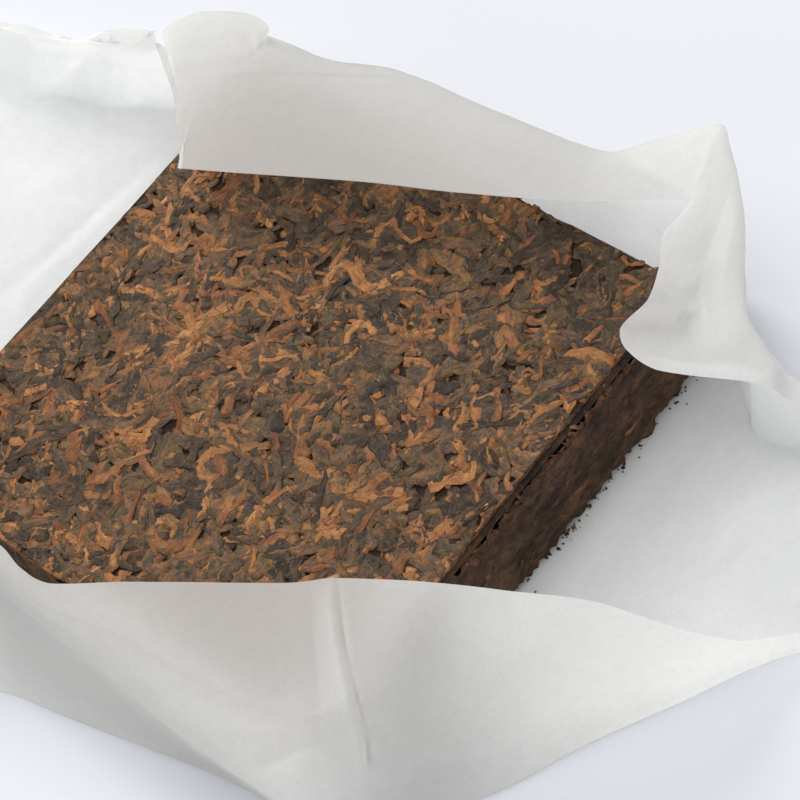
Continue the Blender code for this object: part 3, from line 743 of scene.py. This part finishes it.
# folds and creases of the sheet: kind, height and width in mm, line as (section, rail)
FOLDS = [
    ('ridge', 2.1, 1.9, [(7.00, 0.03), (7.14, 0.45), (7.30, 0.93), (7.37, 1.54), (7.37, 2.02)]),
    ('valley', 1.7, 0.4, [(7.04, 0.01), (7.19, 0.46), (7.37, 0.99), (7.43, 1.65), (7.42, 2.21)]),
    ('valley', 0.5, 1.4, [(6.80, 0.03), (6.94, 0.44), (7.07, 0.89), (7.14, 1.48)]),
    ('ridge', 0.35, 0.9, [(4.08, 2.00), (5.24, 1.96), (5.87, 2.01), (6.64, 2.04)]),
    ('valley', 0.45, 1, [(4.04, 2.59), (5.17, 2.59), (5.73, 2.64), (6.62, 2.19)]),
    ('valley', 0.5, 1.2, [(6.60, 1.85), (6.86, 1.45), (7.13, 1.30)]),
    ('ridge', 0.3, 2, [(5.82, 2.09), (6.58, 1.33), (7.09, 1.20)]),
    ('valley', 0.3, 2, [(7.80, 0.06), (7.89, 0.75), (7.87, 1.34), (7.77, 1.76), (7.65, 1.80)]),
    ('ridge', 0.35, 1.2, [(7.65, 1.80), (7.88, 2.00), (8.24, 2.06), (8.57, 2.24)]),
    ('valley', 0.35, 1, [(7.72, 2.10), (7.98, 2.34), (8.34, 2.45)]),
    ('ridge', 0.3, 1, [(7.52, 1.07), (7.73, 1.58), (7.92, 2.62)]),
    ('valley', 0.25, 1.2, [(8.29, 0.79), (8.38, 1.65), (8.37, 2.51)]),
    ('ridge', 0.2, 1.2, [(9.60, 0.25), (9.86, 0.81), (9.90, 2.36)]),
    ('valley', 0.2, 1.5, [(9.00, 0.79), (9.11, 1.60), (9.16, 2.46)]),
    ('ridge', 0.25, 1.6, [(5.57, 0.12), (5.69, 0.90), (5.83, 2.05)]),
    ('valley', 0.2, 2, [(5.08, 0.29), (5.37, 1.40), (5.65, 1.98)]),
    ('valley', 0.8, 0.8, [(4.61, 9.68), (5.18, 9.46), (5.53, 9.26), (5.94, 9.09)]),
    ('ridge', 0.5, 1.2, [(4.58, 9.74), (5.21, 9.56), (5.61, 9.35), (6.05, 9.20)]),
    ('valley', 0.8, 0.8, [(4.28, 9.50), (4.65, 9.54), (5.02, 9.20)]),
    ('ridge', 0.3, 1.4, [(4.44, 9.61), (4.77, 9.59), (5.13, 9.28)]),
    ('ridge', 0.9, 1.3, [(4.63, 9.10), (4.69, 9.30), (4.80, 9.40)]),
    ('ridge', 0.8, 1.2, [(4.75, 9.08), (4.84, 9.19), (5.05, 9.09)]),
    ('valley', 0.9, 1.2, [(4.61, 9.14), (4.65, 9.30), (4.75, 9.44)]),
    ('valley', 0.8, 1, [(4.71, 9.14), (4.79, 9.25), (4.96, 9.25)]),
    ('ridge', 0.2, 3, [(5.57, 9.96), (6.30, 10.10), (7.38, 9.99), (8.06, 9.85)]),
    ('valley', 0.2, 3, [(5.11, 10.26), (5.65, 10.43), (6.40, 10.61)]),
    ('valley', 1, 2.5, [(8.12, 9.29), (8.48, 10.18), (8.86, 10.76)]),
    ('ridge', 0.9, 1.2, [(9.02, 9.11), (9.00, 9.81), (9.06, 10.51), (8.98, 11.00)]),
    ('valley', 0.5, 2.2, [(9.47, 9.09), (9.70, 9.47), (9.98, 9.79), (10.21, 10.09)]),
    ('ridge', 0.5, 2, [(10.62, 10.46), (10.43, 10.23), (10.27, 9.73)]),
    ('valley', 0.9, 2.4, [(10.70, 10.19), (10.80, 9.95), (10.83, 9.73)]),
    ('ridge', 0.5, 1.8, [(10.84, 10.43), (11.09, 9.84), (11.61, 9.49)]),
    ('valley', 0.35, 1.5, [(11.36, 10.85), (11.50, 10.46), (11.71, 10.10)]),
    ('ridge', 0.3, 1.5, [(9.78, 9.05), (10.23, 9.46), (10.78, 9.46)]),
    ('ridge', 0.6, 4.5, [(8.92, 5.94), (8.61, 5.43), (8.33, 4.94), (8.05, 4.45)]),
    ('valley', 0.6, 4, [(9.63, 6.08), (8.96, 5.30), (8.67, 4.75), (8.35, 4.30)]),
    ('ridge', 0.6, 4.5, [(11.25, 7.16), (9.54, 5.29), (9.00, 4.67), (8.60, 4.20)]),
    ('valley', 0.8, 1.6, [(12.11, 5.79), (11.06, 4.84), (9.93, 4.31), (9.30, 4.00)]),
    ('ridge', 0.9, 3, [(12.14, 6.45), (11.50, 5.51), (10.24, 4.56), (9.97, 4.16)]),
    ('valley', 0.35, 3, [(12.10, 7.64), (11.76, 6.65), (10.57, 5.41)]),
    ('valley', 0.8, 1.2, [(1.87, 5.48), (2.39, 5.84), (2.98, 6.26), (3.47, 6.64)]),
    ('ridge', 0.6, 2.2, [(1.97, 5.34), (2.51, 5.73), (3.17, 6.18), (3.61, 6.53)]),
    ('valley', 0.7, 2.2, [(1.40, 7.00), (1.69, 7.44), (2.07, 7.96)]),
    ('ridge', 0.9, 2.4, [(1.12, 6.91), (1.20, 7.24), (1.38, 7.70)]),
    ('valley', 0.6, 2.5, [(2.42, 6.71), (2.67, 6.95), (2.95, 7.24)]),
    ('ridge', 0.5, 3, [(1.87, 6.56), (2.26, 6.85), (2.76, 7.60)]),
    ('valley', 0.5, 2.5, [(1.03, 6.76), (1.52, 6.54), (1.82, 6.56)]),
    ('ridge', 0.4, 3, [(1.54, 6.12), (2.05, 6.29), (2.65, 6.50)]),
    ('valley', 0.5, 2, [(2.20, 11.00), (1.97, 7.71), (1.64, 7.04)]),
    ('ridge', 0.5, 2, [(2.41, 11.00), (2.40, 7.80), (2.25, 7.11)]),
]


def make_paper():
    nv, nw = 330, 285
    v = spread(nv, 13, [(3.75, 0.4, 0.8), (7.15, 0.35, 1.2), (9.3, 0.6, 0.7), (11.0, 0.7, 0.8)])
    w = spread(nw, 11, [(0.8, 1.0, 0.9), (3, 0.5, 0.6), (5, 0.9, -0.4), (7, 0.5, 0.5), (9, 0.6, 1.0), (10.4, 0.8, 0.6)])
    g = sheet_points(v, w)
    # bring the raised parts to the slab's true height
    lift = sstep(0.5, 12, g[..., 2])
    g[..., :2] *= 1.01
    g[..., 2] = g[..., 2] * (1 + 0.01 * lift) + 1.1 * lift
    nrm = np.cross(np.gradient(g, axis=0), np.gradient(g, axis=1))
    nrm /= np.linalg.norm(nrm, axis=-1, keepdims=True) + 1e-9
    # heights count toward the open side
    nrm *= np.where(nrm @ np.array([-0.30, -0.60, 0.74]) < 0, -1.0, 1.0)[..., None]

    def at(points):
        out = []
        for a, b in points:
            i = np.interp(a, v, np.arange(nv)); j = np.interp(b, w, np.arange(nw))
            i0, j0 = min(int(i), nv - 2), min(int(j), nw - 2)
            fi, fj = i - i0, j - j0
            out.append((g[i0, j0] * (1 - fi) + g[i0 + 1, j0] * fi) * (1 - fj) + (g[i0, j0 + 1] * (1 - fi) + g[i0 + 1, j0 + 1] * fi) * fj)
        return np.array(out)

    push = np.zeros((nv, nw))
    for kind, high, wide, line in FOLDS:
        p = at(line)
        lo_v, hi_v = min(q[0] for q in line) - 1.2, max(q[0] for q in line) + 1.2
        sel = (v > lo_v) & (v < hi_v)
        G = g[sel]
        best = np.full(G.shape[:2], 1e9); where = np.zeros(G.shape[:2])
        seg = np.linalg.norm(np.diff(p, axis=0), axis=1)
        total = seg.sum(); run = 0.0
        for a, b, ln in zip(p, p[1:], seg):
            d = b - a
            t = np.clip(((G - a) @ d) / (d @ d + 1e-9), 0, 1)
            dist = np.linalg.norm(G - a - t[..., None] * d, axis=-1)
            k = dist < best
            best = np.where(k, dist, best); where = np.where(k, (run + t * ln) / total, where)
            run += ln
        fade = np.clip(np.minimum(where, 1 - where) / 0.22, 0, 1) * 0.8 + 0.2
        # distances measured through the air would reach the next layer
        mid_w = np.interp(where, np.linspace(0, 1, len(line)), [q[1] for q in line])
        same = np.abs(w[None] - mid_w) < 2.2
        bump = np.exp(-np.sqrt(best ** 2 + 0.02) / wide) * (best < 6 * wide) * same
        push[sel] += (high if kind == 'ridge' else -high) * bump * fade
    # the loose parts are crumpled a little; under the slab the sheet is flat
    V = np.broadcast_to(v[:, None], push.shape)
    x, y, z = g[..., 0], g[..., 1], g[..., 2]
    loose = sstep(0.4, 6.0, z)
    away = np.maximum(np.abs(x), np.abs(y)) - HALF
    loose = np.maximum(loose, 0.7 * sstep(3.0, 14.0, away))
    left = sstep(3.6, 2.2, V)
    soft = 0.45 * vnoise(x, y, z, 26, 81) + 0.22 * vnoise(x, y, z, 11, 82)
    ridged = 1 - np.abs(vnoise(x, y, z, 17, 83)) * 2
    fine = 1 - np.abs(vnoise(x, y, z, 7.5, 84)) * 2
    push += loose * (soft * (0.5 + 1.0 * left) + (0.10 + 0.55 * left) * ridged + (0.03 + 0.22 * left) * fine)
    # stays clear of the slab
    over = (away < 0.4) & (z > 12)
    push = np.where(over, np.maximum(push, -0.35), push)
    g = g + nrm * push[..., None]
    g[..., 2] = np.where(away < 1.0, np.where(g[..., 2] < 8, np.minimum(g[..., 2], PAPER_TOP), g[..., 2]), g[..., 2])
    g[..., 2] = np.maximum(g[..., 2], 0.08)
    idx = np.arange(nv * nw).reshape(nv, nw)
    f = np.stack([idx[:-1, :-1], idx[1:, :-1], idx[1:, 1:], idx[:-1, 1:]], -1).reshape(-1, 4)
    ob = mesh_object("paper_sheet", g.reshape(-1, 3), f)
    return ob


def paper_material():
    N = Nodes("thin_paper")
    geo = N.n("NewGeometry")
    pos = geo.outputs["Position"]
    st = N.n("Mapping", i_Vector=pos, i_Rotation=(0, 0, 0.5), i_Scale=(650.0, 2300.0, 1500.0)).outputs[0]
    fib = N.n("TexNoise", i_Vector=st, i_Scale=1.0, i_Detail=3.0, i_Roughness=0.65).outputs["Fac"]
    grain = N.n("TexNoise", i_Vector=pos, i_Scale=2300.0, i_Detail=2.0, i_Roughness=0.6).outputs["Fac"]
    cloud = N.n("TexNoise", i_Vector=pos, i_Scale=330.0, i_Detail=3.0, i_Roughness=0.6).outputs["Fac"]
    tone = N.math('ADD', N.math('MULTIPLY', fib, 0.40), N.math('ADD', N.math('MULTIPLY', cloud, 0.30), N.math('MULTIPLY', grain, 0.30)))
    k = N.remap(tone, 0.38, 0.62, 0.965, 1.0)
    kt = N.remap(tone, 0.38, 0.62, 0.91, 1.0)
    col = N.mix(1.0, (0.985, 0.985, 0.965), N.n("CombineColor", i_Red=k, i_Green=k, i_Blue=k).outputs[0], 'MULTIPLY')
    colt = N.mix(1.0, (0.995, 0.993, 0.96), N.n("CombineColor", i_Red=kt, i_Green=kt, i_Blue=kt).outputs[0], 'MULTIPLY')
    bp = N.n("Bump", i_Height=N.math('ADD', fib, N.math('MULTIPLY', cloud, 0.8)), i_Strength=0.25, i_Distance=0.00015).outputs[0]
    b = N.n("BsdfPrincipled", i_Roughness=0.78, i_Normal=bp)
    N.link(col, b.inputs["Base Color"])
    b.inputs["Specular IOR Level"].default_value = 0.25
    tr = N.n("BsdfTranslucent", i_Normal=bp)
    N.link(colt, tr.inputs["Color"])
    mx = N.n("MixShader")
    mx.inputs[0].default_value = 0.66
    N.link(b.outputs[0], mx.inputs[1]); N.link(tr.outputs[0], mx.inputs[2])
    N.link(mx.outputs[0], N.out.inputs[0])
    return N.m


paper = make_paper()
paper.data.materials.append(paper_material())
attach(paper, "root"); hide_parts("wrapper_paper")

# ------------------------------------------------------------ floor, lights
bpy.ops.mesh.primitive_plane_add(size=6, location=(0, 0, 0))
floor = bpy.context.object
floor.name = "floor"
N = Nodes("pale_floor")
b = N.n("BsdfPrincipled", i_Roughness=0.7)
b.inputs["Base Color"].default_value = (0.71, 0.725, 0.765, 1)
b.inputs["Specular IOR Level"].default_value = 0.2
N.link(b.outputs[0], N.out.inputs[0])
floor.data.materials.append(N.m)

world = bpy.data.worlds.new("soft_world")
bpy.context.scene.world = world
world.use_nodes = True
bg = world.node_tree.nodes["Background"]
bg.inputs[0].default_value = (0.93, 0.95, 1.0, 1)
bg.inputs[1].default_value = 0.44


def area(name, loc, size, power, color=(1, 1, 1)):
    l = bpy.data.lights.new(name, 'AREA')
    l.shape = 'DISK'
    l.size = size
    l.energy = power
    l.color = color
    o = bpy.data.objects.new(name, l)
    bpy.context.scene.collection.objects.link(o)
    o.location = loc
    o.rotation_euler = (-Vector(loc)).to_track_quat('-Z', 'Y').to_euler()
    return o


area("window", (0.90, 1.92, 1.38), 1.6, 39.0, (1.0, 0.985, 0.96))
area("overhead", (0.0, 0.0, 2.5), 3.0, 37.0, (1.0, 0.995, 0.985))
area("fill", (-1.28, -0.59, 0.51), 1.2, 7.0, (0.95, 0.97, 1.0))

# ----------------------------------------------------------------- camera
cam_d = bpy.data.cameras.new("camera")
cam = bpy.data.objects.new("camera", cam_d)
bpy.context.scene.collection.objects.link(cam)
bpy.context.scene.camera = cam
cam_d.sensor_width = 36
cam_d.lens = 36 * 2600 / 800
K = 1.01
C = np.array([-103.19, -245.07, 348.65]) * K + np.array([0, 0, 20.8])
right = Vector((0.6234, -0.7326, -0.2732)).normalized()
up = Vector((0.7382, 0.4361, 0.5147))
up = (up - right * up.dot(right)).normalized()
back = right.cross(up)
R = Matrix((right, up, back)).transposed()
cam.matrix_world = Matrix.Translation(Vector(C * MM)) @ R.to_4x4()
cam_d.clip_start, cam_d.clip_end = 0.02, 20

sc = bpy.context.scene
sc.view_settings.view_transform = 'Standard'
sc.view_settings.look = 'None'
sc.view_settings.exposure = 0.0
sc.cycles.use_denoising = True
